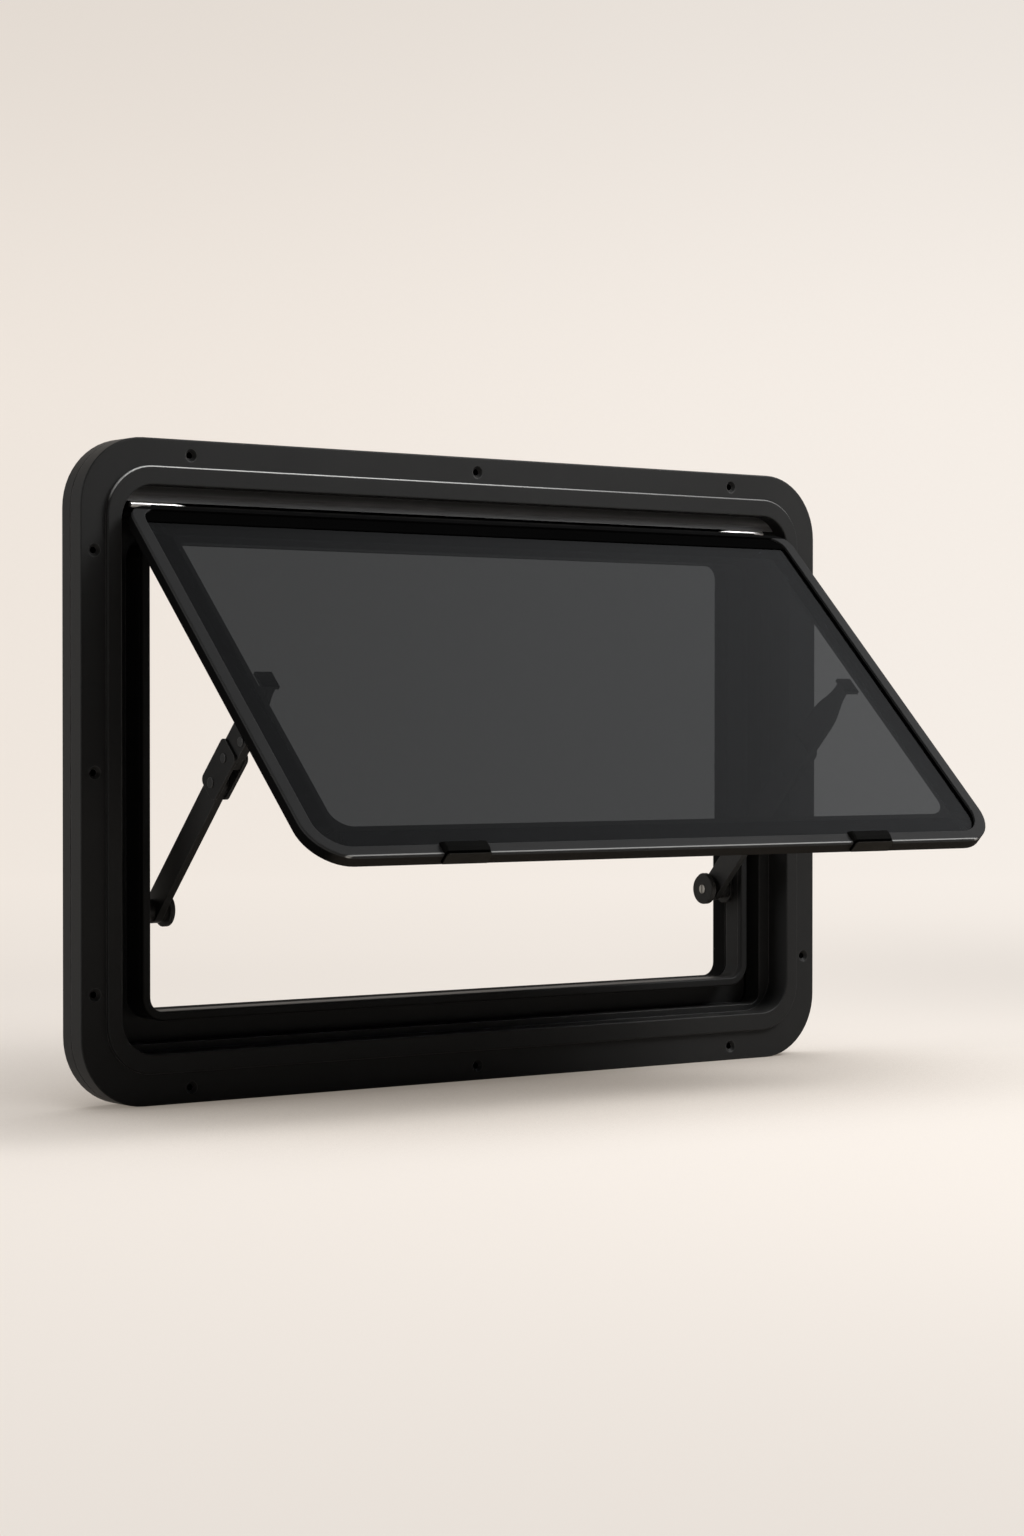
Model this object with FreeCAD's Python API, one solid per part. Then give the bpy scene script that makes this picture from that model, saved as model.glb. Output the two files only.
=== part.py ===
import FreeCAD
import Part
import math
import os
from collections import namedtuple

# A caravan window with a top-hung sash, modelled as it stands propped open.
# X runs along the width, Y runs inwards through the wall and Z runs up.
# The plane Y = 0 is the face of the frame that meets the wall, and depths are counted
# inwards from the front of the flange. Heights are counted up from the frame's lowest edge.
# All lengths are millimetres and all angles are degrees.

# Frame, overall
frame_width = 650.0
frame_height = 450.0
frame_corner = 48.0
rim_depth = 25.0
datum_height = 16.0
skin = 2.5

# Frame, insets from its outer edge
bead_outer_inset = 19.0
bead_inner_inset = 30.0
bead_shift_below = 2.6
bead_inner_below = 35.0
bead_inner_top = 32.0
bead_outer_corner = 35.0
bead_inner_corner = 24.5
bead_rise = 3.0
bead_rounding = 1.2
edge_rounding = 1.0
rim_line_place = 14.0
rim_line_width = 0.8
rim_line_depth = 0.5
ledge_inset = 40.0
ledge_corner = 9.0
lip_outer_inset = 55.5
lip_outer_inset_top = 64.2
lip_outer_corner = 16.5
lip_width = 6.3
opening_corner = 10.0
reveal_reach = 23.0
pocket_floor_reach = 14.5
track_line_width = 2.0
track_line_depth = 0.8

# Screw holes in the flange
hole_inset = 10.5
hole_radius = 2.25
countersink_radius = 4.5
hole_row_spacing = 240.0
side_hole_spacing = 148.0

# Seal
seal_cap_height = 4.0
seal_foot_width = 2.4
seal_foot_depth = 4.5
seal_gap = 1.0
seal_rounding = 1.4

# Sash
sash_recess = 4.5
sash_thickness = 9.0
sash_side_clearance = 2.5
sash_below_axis = 22.8
sash_overlap_below = 2.0
sash_corner = 31.0
sash_top_corner = 13.0
sash_strip = 9.0
sash_strip_top = 3.2
strip_top_corner = 12.0
sash_wall = 2.5
sash_strip_thickness = 2.0
sash_rounding = 1.0
strip_rounding = 0.5
ledge_clearance = 5.0
gasket_thickness = 0.7
gasket_overhang = 0.6
gasket_band_top = 10.5
glass_thickness = 4.0
glass_edge_gap = 0.7
border_width = 26.0
border_width_top = 23.5
border_thickness = 0.4
open_angle = 45.5

# Hinge
axis_drop = 47.6
axis_depth = 29.0
pin_radius = 2.4
pin_clearance = 0.06
knuckle_radius = 5.0
knuckle_count = 11
knuckle_gap = 0.6
hinge_inset = 89.0
pin_end_clearance = 6.5
pin_end_radius = 6.0
leaf_thickness = 2.2
rail_height = 18.0
leaf_foot_setback = 3.0
leaf_cover_height = 7.9
leaf_cover_inset = 24.5
knuckle_headroom = 1.6

# Header strip above the hinge
header_strip_height = 10.5
header_strip_thickness = 1.6
header_strip_depth = 9.0
end_stop_inner = 44.0
end_stop_outer = 88.0
end_stop_taper = 9.0
end_stop_radius = 2.1
end_stop_rise = 8.0

# Clips on the sash's lower edge
left_clip_place = -180.0
right_clip_place = 167.0
clip_width = 35.0
clip_rise = 10.0
clip_wall = 2.4
clip_chamfer = 3.0
clip_nose = 4.2

# Stays
bar_width = 18.0
bar_thickness = 5.5
bar_length = 122.0
bar_angle = 46.5
side_play = 0.3
track_depth = 33.0
slider_open_height = 130.0
cheek_thickness = 2.4
sleeve_width = 22.0
sleeve_length = 41.0
sleeve_end = 8.0
tongue_stop = 22.0
tongue_width = 20.0
tongue_root = 8.0
tongue_flare = 34.0
foot_width = 13.0
foot_length = 14.0
foot_thickness = 2.5
rivet_radius = 2.5
rivet_head_radius = 3.6
rivet_head_height = 0.9
sleeve_screw_radius = 3.2
first_screw_back = 23.0
second_screw_back = 43.0
second_screw_offset = 5.0

# Slider and knob
slider_play = 0.6
slider_plate_height = 22.0
slider_plate_width = 18.0
slider_plate_thickness = 2.0
boss_radius = 7.5
boss_length = 7.55
stud_radius = 3.0
stud_play = 0.08
stud_in_knob = 1.0
stud_end_play = 0.5
knob_radius = 11.6
knob_lobe_radius = 8.2
knob_lobe_offset = 4.2
knob_disc_thickness = 4.0
knob_neck_radius = 8.4
knob_neck_length = 3.4
knob_screw_radius = 3.4
knob_screw_length = 1.8
knob_screw_proud = 0.4
knob_slot_width = 1.0

# Worked out from the sizes above
front = -rim_depth
lowest = -datum_height
highest = frame_height - datum_height
half_width = frame_width / 2.0
sash_front = front + sash_recess
sash_back = sash_front + sash_thickness
seal_front = sash_back + seal_gap
upstand_front = seal_front + seal_cap_height
ledge_front = sash_back + ledge_clearance
pocket_back = pocket_floor_reach
pocket_front = pocket_back - skin
axis_y = front + axis_depth
axis_z = highest - axis_drop
hinge_half = half_width - hinge_inset
pin_half = half_width - ledge_inset - pin_end_clearance
sash_half = half_width - bead_inner_inset - sash_side_clearance
sash_top = axis_z - sash_below_axis
sash_low = lowest + lip_outer_inset - sash_overlap_below
jamb_face = half_width - lip_outer_inset - lip_width
slider_inner = jamb_face - slider_play - slider_plate_thickness
stay_plane = slider_inner - boss_length - side_play - bar_thickness / 2.0
glass_front = sash_front + sash_strip_thickness + gasket_thickness
glass_back = glass_front + glass_thickness
track_y = front + track_depth
slider_z = lowest + slider_open_height

Outline = namedtuple("Outline", "half low high corner top_corner")


def outline_wire(outline, y):
    """Rounded rectangle in the plane at depth y, as one closed wire."""
    right = outline.half
    left = -right
    low = outline.low
    high = outline.high
    r = outline.corner
    top_r = outline.top_corner
    bend = r * (1.0 - math.sqrt(0.5))
    top_bend = top_r * (1.0 - math.sqrt(0.5))

    def point(x, z):
        return FreeCAD.Vector(x, y, z)

    def arc(start, middle, end):
        return Part.Arc(point(*start), point(*middle), point(*end)).toShape()

    edges = [
        Part.makeLine(point(left + r, low), point(right - r, low)),
        arc((right - r, low), (right - bend, low + bend), (right, low + r)),
        Part.makeLine(point(right, low + r), point(right, high - top_r)),
        arc((right, high - top_r), (right - top_bend, high - top_bend), (right - top_r, high)),
        Part.makeLine(point(right - top_r, high), point(left + top_r, high)),
        arc((left + top_r, high), (left + top_bend, high - top_bend), (left, high - top_r)),
        Part.makeLine(point(left, high - top_r), point(left, low + r)),
        arc((left, low + r), (left + bend, low + bend), (left + r, low)),
    ]
    return Part.Wire(edges)


def plate(outline, y_from, y_to):
    """Solid of an outline between two depths."""
    face = Part.Face(outline_wire(outline, y_from))
    return face.extrude(FreeCAD.Vector(0, y_to - y_from, 0))


def ring(outer, inner, y_from, y_to):
    """Ring between two outlines and two depths."""
    margin = 1.0
    return plate(outer, y_from, y_to).cut(plate(inner, y_from - margin, y_to + margin))


def frame_line(side, corner, top=None, below=None):
    """Outline at an inset from the frame's outer edge; top and below may differ from the sides."""
    top = side if top is None else top
    below = side if below is None else below
    return Outline(half_width - side, lowest + below, highest - top, corner, corner)


def sash_line(inset, top=None):
    """Outline at an inset from the closed sash's outer edge; top may differ from the rest."""
    top = inset if top is None else top
    corner = max(sash_corner - inset, 4.0)
    top_corner = max(sash_top_corner - inset, 4.0)
    return Outline(sash_half - inset, sash_low + inset, sash_top - top, corner, top_corner)


def box(x_from, x_to, y_from, y_to, z_from, z_to):
    """Axis-aligned block between two corners."""
    corner = FreeCAD.Vector(min(x_from, x_to), min(y_from, y_to), min(z_from, z_to))
    return Part.makeBox(abs(x_to - x_from), abs(y_to - y_from), abs(z_to - z_from), corner)


def rod_x(radius, x_from, x_to, y, z):
    """Cylinder along X."""
    start = FreeCAD.Vector(min(x_from, x_to), y, z)
    return Part.makeCylinder(radius, abs(x_to - x_from), start, FreeCAD.Vector(1, 0, 0))


def profile_x(points, x_from, x_to):
    """Straight-sided section in the YZ plane, drawn out along X."""
    corners = [FreeCAD.Vector(min(x_from, x_to), y, z) for y, z in points]
    face = Part.Face(Part.makePolygon(corners + [corners[0]]))
    return face.extrude(FreeCAD.Vector(abs(x_to - x_from), 0, 0))


def capsule_x(radius_a, radius_b, start, end, x_from, x_to):
    """Flat link along X: two round ends of their own radii joined by their tangent lines."""
    ya, za = start
    yb, zb = end
    run = math.hypot(yb - ya, zb - za)
    heading = math.atan2(zb - za, yb - ya)
    spread = math.acos((radius_a - radius_b) / run)

    def on_circle(y, z, radius, angle):
        return FreeCAD.Vector(min(x_from, x_to), y + radius * math.cos(angle), z + radius * math.sin(angle))

    a_left = on_circle(ya, za, radius_a, heading + spread)
    a_far = on_circle(ya, za, radius_a, heading + math.pi)
    a_right = on_circle(ya, za, radius_a, heading - spread)
    b_left = on_circle(yb, zb, radius_b, heading + spread)
    b_far = on_circle(yb, zb, radius_b, heading)
    b_right = on_circle(yb, zb, radius_b, heading - spread)
    edges = [
        Part.Arc(a_left, a_far, a_right).toShape(),
        Part.makeLine(a_right, b_right),
        Part.Arc(b_right, b_far, b_left).toShape(),
        Part.makeLine(b_left, a_left),
    ]
    face = Part.Face(Part.Wire(edges))
    return face.extrude(FreeCAD.Vector(abs(x_to - x_from), 0, 0))


def fuse_all(shapes):
    """One solid from touching or overlapping ones."""
    result = shapes[0]
    if len(shapes) > 1:
        result = result.multiFuse(shapes[1:])
    return result.removeSplitter()


def opened(shape):
    """Swing a piece of the closed sash out to the propped-open position."""
    turned = shape.copy()
    turned.rotate(FreeCAD.Vector(0, axis_y, axis_z), FreeCAD.Vector(1, 0, 0), -open_angle)
    return turned


def mirrored(shape):
    """The same piece on the other side of the window."""
    return shape.mirror(FreeCAD.Vector(0, 0, 0), FreeCAD.Vector(1, 0, 0))


EDGE = frame_line(0.0, frame_corner)
BEAD_OUTER = frame_line(bead_outer_inset, bead_outer_corner, below=bead_outer_inset + bead_shift_below)
BEAD_INNER = frame_line(bead_inner_inset, bead_inner_corner, bead_inner_top, bead_inner_below)
LEDGE = frame_line(ledge_inset, ledge_corner, top=axis_drop - knuckle_radius - knuckle_headroom)
LIP_OUTER = frame_line(lip_outer_inset, lip_outer_corner, top=lip_outer_inset_top)
LIP_INNER = frame_line(
    lip_outer_inset + lip_width,
    opening_corner,
    top=lip_outer_inset_top + lip_width,
)


def widened(outline, amount):
    """Outline moved outwards by an amount, its corners growing with it."""
    return Outline(
        outline.half + amount,
        outline.low - amount,
        outline.high + amount,
        outline.corner + amount,
        outline.top_corner + amount,
    )


def narrowed(outline, amount):
    """Outline moved inwards by an amount."""
    return widened(outline, -amount)


STRIP_INNER = sash_line(sash_strip, sash_strip_top)._replace(top_corner=strip_top_corner)


def edges_at_depth(shape, y):
    """Edges that lie wholly in the plane at depth y."""
    near = 0.01
    return [e for e in shape.Edges if abs(e.BoundBox.YMin - y) < near and abs(e.BoundBox.YMax - y) < near]


def edges_on_line(edges, outline):
    """Those of the given edges that follow an outline and not a smaller one inside it."""
    near = 0.01
    kept = []
    for edge in edges:
        span = edge.BoundBox
        at_side = max(-span.XMin, span.XMax) > outline.half - near
        if at_side or span.ZMin < outline.low + near or span.ZMax > outline.high - near:
            kept.append(edge)
    return kept


def seal_groove_lines():
    """Outer and inner lines of the groove in the upstand that holds the seal's foot."""
    margin = (lip_width - seal_foot_width) / 2.0
    return narrowed(LIP_OUTER, margin), widened(LIP_INNER, margin)


def screw_places():
    """Centres of the flange's screw holes, as X and Z."""
    low = lowest + hole_inset
    high = highest - hole_inset
    middle = (lowest + highest) / 2.0
    side = half_width - hole_inset
    rows = [(x, z) for z in (low, high) for x in (-hole_row_spacing, 0.0, hole_row_spacing)]
    sides = [(x, middle + dz) for x in (-side, side) for dz in (-side_hole_spacing, 0.0, side_hole_spacing)]
    return rows + sides


def make_outer_frame():
    """Hollow extruded frame: flange, raised bead, sash pocket, seal upstand and reveal."""
    bead = ring(BEAD_OUTER, BEAD_INNER, front - bead_rise, front)
    bead = bead.makeFillet(bead_rounding, edges_at_depth(bead, front - bead_rise))
    rings = [
        bead,
        ring(EDGE, narrowed(BEAD_OUTER, skin), front, front + skin),
        ring(EDGE, narrowed(EDGE, skin), front, 0.0),
        ring(EDGE, LEDGE, -skin, 0.0),
        ring(widened(BEAD_INNER, skin), BEAD_INNER, front, ledge_front + skin),
        ring(widened(BEAD_INNER, skin), LEDGE, ledge_front, ledge_front + skin),
        ring(widened(LEDGE, skin), LEDGE, ledge_front, pocket_back),
        ring(widened(LEDGE, skin), LIP_INNER, pocket_front, pocket_back),
        ring(LIP_OUTER, LIP_INNER, upstand_front, pocket_back),
        ring(widened(LIP_INNER, skin), LIP_INNER, upstand_front, reveal_reach),
    ]
    frame = fuse_all(rings)
    frame = frame.makeFillet(edge_rounding, edges_on_line(edges_at_depth(frame, front), EDGE))
    rim_line = ring(
        widened(EDGE, 1.0),
        narrowed(EDGE, rim_line_depth),
        front + rim_line_place - rim_line_width / 2.0,
        front + rim_line_place + rim_line_width / 2.0,
    )
    frame = frame.cut(rim_line)
    groove_outer, groove_inner = seal_groove_lines()
    frame = frame.cut(ring(groove_outer, groove_inner, upstand_front - 1.0, upstand_front + seal_foot_depth))
    track = ring(
        widened(LIP_INNER, track_line_depth),
        LIP_INNER,
        track_y - track_line_width / 2.0,
        track_y + track_line_width / 2.0,
    )
    frame = frame.cut(track)
    along = FreeCAD.Vector(0, 1, 0)
    drills = []
    for x, z in screw_places():
        start = FreeCAD.Vector(x, front - 1.0, z)
        drills.append(Part.makeCylinder(hole_radius, rim_depth + 2.0, start, along))
        mouth = FreeCAD.Vector(x, front, z)
        sink_depth = countersink_radius - hole_radius
        drills.append(Part.makeCone(countersink_radius, hole_radius, sink_depth, mouth, along))
    return frame.cut(Part.makeCompound(drills))


def make_frame_seal():
    """Rubber seal: a rounded cap on the upstand, with a foot in its groove."""
    cap = ring(LIP_OUTER, LIP_INNER, seal_front, upstand_front)
    cap = cap.makeFillet(seal_rounding, edges_at_depth(cap, seal_front))
    groove_outer, groove_inner = seal_groove_lines()
    foot = ring(groove_outer, groove_inner, upstand_front, upstand_front + seal_foot_depth)
    return fuse_all([cap, foot])


def knuckle_spans(first):
    """X spans of every second hinge knuckle, starting with knuckle number first."""
    length = 2.0 * hinge_half / knuckle_count
    spans = []
    for number in range(first, knuckle_count, 2):
        start = -hinge_half + number * length
        spans.append((start + knuckle_gap / 2.0, start + length - knuckle_gap / 2.0))
    return spans


def make_hinge_rail():
    """Frame side of the hinge: a plate on the pocket floor with knuckles on webs."""
    plate_back = pocket_front
    plate_front = plate_back - leaf_thickness
    top = axis_z + knuckle_radius
    pieces = [box(-hinge_half, hinge_half, plate_front, plate_back, top - rail_height, top)]
    half_web = knuckle_radius * 0.6
    for x_from, x_to in knuckle_spans(0):
        pieces.append(rod_x(knuckle_radius, x_from, x_to, axis_y, axis_z))
        pieces.append(box(x_from, x_to, axis_y, plate_front + 0.5, axis_z - half_web, axis_z + half_web))
    bore = rod_x(pin_radius + pin_clearance, -half_width, half_width, axis_y, axis_z)
    return fuse_all(pieces).cut(bore)


def make_hinge_pin():
    """Stainless hinge pin with a thick bearing end beyond the last knuckle on each side."""
    pieces = [rod_x(pin_radius, -pin_half, pin_half, axis_y, axis_z)]
    for side in (-1.0, 1.0):
        inner = side * (hinge_half + knuckle_gap / 2.0)
        pieces.append(rod_x(pin_end_radius, inner, side * pin_half, axis_y, axis_z))
    return fuse_all(pieces)


def make_header_strip():
    """Cover strip that hangs from the bead in front of the hinge, from corner to corner."""
    half = BEAD_INNER.half
    top = BEAD_INNER.high
    low = top - header_strip_height
    face_y = front + header_strip_depth
    hook_back = ledge_front
    face = box(-half, half, face_y, face_y + header_strip_thickness, low, top)
    lip = box(-half, half, face_y, hook_back, top - header_strip_thickness, top)
    return fuse_all([face, lip]).common(plate(BEAD_INNER, face_y, hook_back))


def make_right_end_stop():
    """Stainless stop on the right, behind the strip, with a round edge that shows below it."""
    outer = half_width - end_stop_inner
    inner = half_width - end_stop_outer
    y_front = front + header_strip_depth + header_strip_thickness
    z = BEAD_INNER.high - header_strip_height - end_stop_radius
    y = y_front + end_stop_radius * 0.4
    round_edge = rod_x(end_stop_radius, inner + end_stop_taper, outer, y, z)
    start = FreeCAD.Vector(inner, y, z)
    taper = Part.makeCone(0.4, end_stop_radius, end_stop_taper, start, FreeCAD.Vector(1, 0, 0))
    top = z + end_stop_radius + end_stop_rise
    back = box(inner + end_stop_taper, outer, y_front, y_front + end_stop_radius, z, top)
    return fuse_all([round_edge, taper, back])


def make_sash_frame():
    """Sash edge profile: a front strip and an outer wall around the glass."""
    outer = sash_line(0.0)
    strip = ring(outer, STRIP_INNER, sash_front, sash_front + sash_strip_thickness)
    wall = ring(outer, sash_line(sash_wall), sash_front, sash_back)
    profile = fuse_all([strip, wall])
    front_edges = edges_at_depth(profile, sash_front)
    outer_edges = edges_on_line(front_edges, outer)
    inner_edges = [edge for edge in front_edges if not any(edge.isSame(kept) for kept in outer_edges)]
    return profile.makeFillet(sash_rounding, outer_edges).makeFillet(strip_rounding, inner_edges)


def make_glazing_gasket():
    """Soft strip between the sash's front strip and the glass, broad along the top."""
    y_from = sash_front + sash_strip_thickness
    inner = narrowed(STRIP_INNER, gasket_overhang)
    inner = inner._replace(high=STRIP_INNER.high - gasket_band_top, top_corner=2.0)
    return ring(sash_line(sash_wall), inner, y_from, glass_front)


def make_glass_pane():
    """Tinted pane."""
    return plate(sash_line(sash_wall + glass_edge_gap), glass_front, glass_back)


def make_glass_border():
    """Black border printed on the pane's inner face."""
    outer = sash_line(sash_wall + glass_edge_gap)
    inner = sash_line(border_width, border_width_top)
    return ring(outer, inner, glass_back, glass_back + border_thickness)


def make_glazing_bead():
    """Bead that holds the glass from behind."""
    inner = widened(sash_line(border_width, border_width_top), 1.0)
    return ring(sash_line(sash_wall), inner, glass_back + border_thickness, sash_back)


def make_hinge_leaf():
    """Sash side of the hinge: foot, cover over the seal's top run, and slanted web to the knuckles."""
    half = hinge_half
    cover_half = sash_half - leaf_cover_inset
    cover_top = sash_top + leaf_cover_height
    foot_front = sash_front + leaf_foot_setback
    foot = box(-cover_half, cover_half, foot_front, sash_back, sash_top, sash_top + leaf_thickness)
    lean = math.atan2(axis_y - sash_back, axis_z - cover_top)
    shift = leaf_thickness / math.cos(lean)
    cover = box(-cover_half, cover_half, sash_back - shift, sash_back, sash_top, cover_top)
    web_points = [
        (sash_back - shift, cover_top - leaf_thickness),
        (sash_back, cover_top - leaf_thickness),
        (sash_back, cover_top),
        (axis_y, axis_z),
        (axis_y - shift, axis_z),
        (sash_back - shift, cover_top),
    ]
    web = profile_x(web_points, -half, half)
    pieces = [foot, cover]
    clear = rod_x(knuckle_radius + knuckle_gap, -half_width, half_width, axis_y, axis_z)
    pieces.append(web.cut(clear))
    for x_from, x_to in knuckle_spans(1):
        pieces.append(profile_x(web_points, x_from, x_to))
        pieces.append(rod_x(knuckle_radius, x_from, x_to, axis_y, axis_z))
    bore = rod_x(pin_radius + pin_clearance, -half_width, half_width, axis_y, axis_z)
    return fuse_all(pieces).cut(bore)


def make_clip(x_centre):
    """Moulded clip that wraps the sash's lower edge, with a nose standing out in front."""
    x_from = x_centre - clip_width / 2.0
    x_to = x_centre + clip_width / 2.0
    section = [
        (sash_back - clip_wall, sash_low),
        (sash_back - clip_wall, sash_low - clip_wall),
        (sash_front - clip_wall, sash_low - clip_wall),
        (sash_front - clip_nose, sash_low + clip_chamfer),
        (sash_front - clip_nose, sash_low + clip_rise - clip_chamfer),
        (sash_front - clip_wall / 2.0, sash_low + clip_rise),
        (sash_front, sash_low + clip_rise),
        (sash_front, sash_low),
    ]
    body = profile_x(section, x_from, x_to)
    outer_edges = [
        edge
        for edge in body.Edges
        if edge.BoundBox.XLength < 0.01 and edge.BoundBox.YMax < sash_front - clip_wall / 2.0 + 0.1
    ]
    return body.makeChamfer(clip_wall / 2.0, outer_edges)


# The stay's pivots in the open position: the slider's stud and the pivot in the sleeve.
STUD = (track_y, slider_z)
PIVOT = (
    track_y - bar_length * math.cos(math.radians(bar_angle)),
    slider_z + bar_length * math.sin(math.radians(bar_angle)),
)


def closed_place(point):
    """Where a point of the open sash lies when the sash is closed, as Y and Z."""
    vector = FreeCAD.Vector(0, point[0] - axis_y, point[1] - axis_z)
    turn = FreeCAD.Rotation(FreeCAD.Vector(1, 0, 0), open_angle)
    moved = turn.multVec(vector)
    return axis_y + moved.y, axis_z + moved.z


PIVOT_CLOSED = closed_place(PIVOT)


def make_right_tongue():
    """Bracket on the right: a foot bonded to the glass and a tongue that reaches back to the sleeve."""
    reach_y = PIVOT_CLOSED[0] - tongue_stop
    z = PIVOT_CLOSED[1]
    half = bar_thickness / 2.0 + side_play
    foot_face = glass_back + foot_thickness

    def point(y, z_offset):
        return FreeCAD.Vector(stay_plane - half, y, z + z_offset)

    root = tongue_root / 2.0
    edge = tongue_width / 2.0
    neck_y = foot_face + tongue_flare

    def flare(side):
        sweep = Part.BezierCurve()
        first_bend = point(foot_face + tongue_flare * 0.5, side * root)
        second_bend = point(foot_face + tongue_flare * 0.5, side * edge)
        sweep.setPoles([point(foot_face, side * root), first_bend, second_bend, point(neck_y, side * edge)])
        return sweep.toShape()

    def line(start, end):
        return Part.makeLine(point(*start), point(*end))

    outline = [
        line((glass_back, root), (glass_back, -root)),
        line((glass_back, -root), (foot_face, -root)),
        flare(-1.0),
        line((neck_y, -edge), (reach_y, -edge)),
        line((reach_y, -edge), (reach_y, edge)),
        line((reach_y, edge), (neck_y, edge)),
        flare(1.0),
        line((foot_face, root), (glass_back, root)),
    ]
    web_face = Part.Face(Part.Wire(Part.__sortEdges__(outline)))
    web = web_face.extrude(FreeCAD.Vector(2.0 * half, 0, 0))
    foot = box(
        stay_plane - half,
        stay_plane - half + foot_width,
        glass_back,
        glass_back + foot_thickness,
        z - foot_length / 2.0,
        z + foot_length / 2.0,
    )
    return fuse_all([web, foot])


def cheek_spans():
    """X spans of the sleeve's two cheeks on the right."""
    inner = bar_thickness / 2.0 + side_play
    return [
        (stay_plane - inner - cheek_thickness, stay_plane - inner),
        (stay_plane + inner, stay_plane + inner + cheek_thickness),
    ]


def make_right_sleeve():
    """Sleeve on the right: two cheeks that clasp the tongue and carry the bar's pivot."""
    y_end = PIVOT_CLOSED[0]
    z = PIVOT_CLOSED[1]
    half = sleeve_width / 2.0
    start = y_end + sleeve_end - sleeve_length
    cheeks = []
    for x_from, x_to in cheek_spans():
        cheek = box(x_from, x_to, start, y_end + sleeve_end, z - half, z + half)
        corners = [edge for edge in cheek.Edges if edge.BoundBox.XLength > cheek_thickness / 2.0]
        cheeks.append(cheek.makeFillet(sleeve_end * 0.6, corners))
    hole = rod_x(rivet_radius, stay_plane - bar_width, stay_plane + bar_width, y_end, z)
    return Part.makeCompound([cheek.cut(hole) for cheek in cheeks])


def make_right_rivet():
    """Headed rivet through the cheeks and the bar on the right."""
    y = PIVOT_CLOSED[0]
    z = PIVOT_CLOSED[1]
    inner_span, outer_span = cheek_spans()
    shank = rod_x(rivet_radius, inner_span[0], outer_span[1], y, z)
    heads = [
        rod_x(rivet_head_radius, inner_span[0] - rivet_head_height, inner_span[0], y, z),
        rod_x(rivet_head_radius, outer_span[1], outer_span[1] + rivet_head_height, y, z),
    ]
    return fuse_all([shank] + heads)


def make_right_sleeve_screws():
    """Two screws that hold the sleeve and the tongue together on the right."""
    z = PIVOT_CLOSED[1]
    inner_span, outer_span = cheek_spans()
    first_y = PIVOT_CLOSED[0] - first_screw_back
    second_y = PIVOT_CLOSED[0] - second_screw_back
    first = rod_x(sleeve_screw_radius, outer_span[1], outer_span[1] + rivet_head_height, first_y, z)
    tongue_face = stay_plane + bar_thickness / 2.0 + side_play
    second = rod_x(
        sleeve_screw_radius,
        tongue_face,
        tongue_face + rivet_head_height,
        second_y,
        z - second_screw_offset,
    )
    return Part.makeCompound([first, second])


def make_right_bar():
    """Flat stay bar on the right, between the sleeve's pivot and the slider's stud."""
    half = bar_thickness / 2.0
    bar = capsule_x(
        bar_width / 2.0,
        bar_width / 2.0,
        PIVOT,
        STUD,
        stay_plane - half,
        stay_plane + half,
    )
    x_from = stay_plane - bar_width
    x_to = stay_plane + bar_width
    pivot_hole = rod_x(rivet_radius + stud_play, x_from, x_to, *PIVOT)
    stud_hole = rod_x(stud_radius + stud_play, x_from, x_to, *STUD)
    return bar.cut(pivot_hole).cut(stud_hole)


def make_right_slider():
    """Slider on the right jamb: an oval plate, a boss and the threaded stud."""
    y, z = STUD
    plate_outer = jamb_face - slider_play
    boss_end = slider_inner - boss_length
    offset = (slider_plate_height - slider_plate_width) / 2.0
    radius = slider_plate_width / 2.0
    oval = capsule_x(radius, radius, (y, z - offset), (y, z + offset), slider_inner, plate_outer)
    boss = rod_x(boss_radius, boss_end, slider_inner, y, z)
    knob_face = stay_plane - bar_thickness / 2.0 - side_play
    stud_end = knob_face - knob_neck_length - stud_in_knob
    stud = rod_x(stud_radius, stud_end, boss_end, y, z)
    return fuse_all([oval, boss, stud])


def make_right_knob():
    """Clamp knob on the right: an egg-shaped disc on a round neck, with a seat for its screw."""
    y, z = STUD
    neck_outer = stay_plane - bar_thickness / 2.0 - side_play
    neck_inner = neck_outer - knob_neck_length
    face = neck_inner - knob_disc_thickness
    lobe = (y, z + knob_lobe_offset)
    disc = capsule_x(knob_radius, knob_lobe_radius, (y, z), lobe, face, neck_inner)
    rim = [edge for edge in disc.Edges if edge.BoundBox.XMax < face + 0.01]
    disc = disc.makeFillet(0.9, rim)
    neck = rod_x(knob_neck_radius, neck_inner, neck_outer, y, z)
    knob = fuse_all([disc, neck])
    thread_end = neck_inner - stud_in_knob - stud_end_play
    thread = rod_x(stud_radius + stud_play, thread_end, neck_outer, y, z)
    seat_depth = knob_screw_length - knob_screw_proud
    seat = rod_x(knob_screw_radius, face, face + seat_depth, y, z)
    return knob.cut(thread).cut(seat)


def make_right_knob_screw():
    """Slotted screw in the knob's face on the right."""
    y, z = STUD
    face = stay_plane - bar_thickness / 2.0 - side_play - knob_neck_length - knob_disc_thickness
    x_from = face - knob_screw_proud
    screw = rod_x(knob_screw_radius, x_from, x_from + knob_screw_length, y, z)
    half = knob_slot_width / 2.0
    slot = box(
        x_from - 1.0,
        x_from + knob_screw_length / 2.0,
        y - half,
        y + half,
        z - knob_screw_radius - 1.0,
        z + knob_screw_radius + 1.0,
    )
    return screw.cut(slot)


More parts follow.
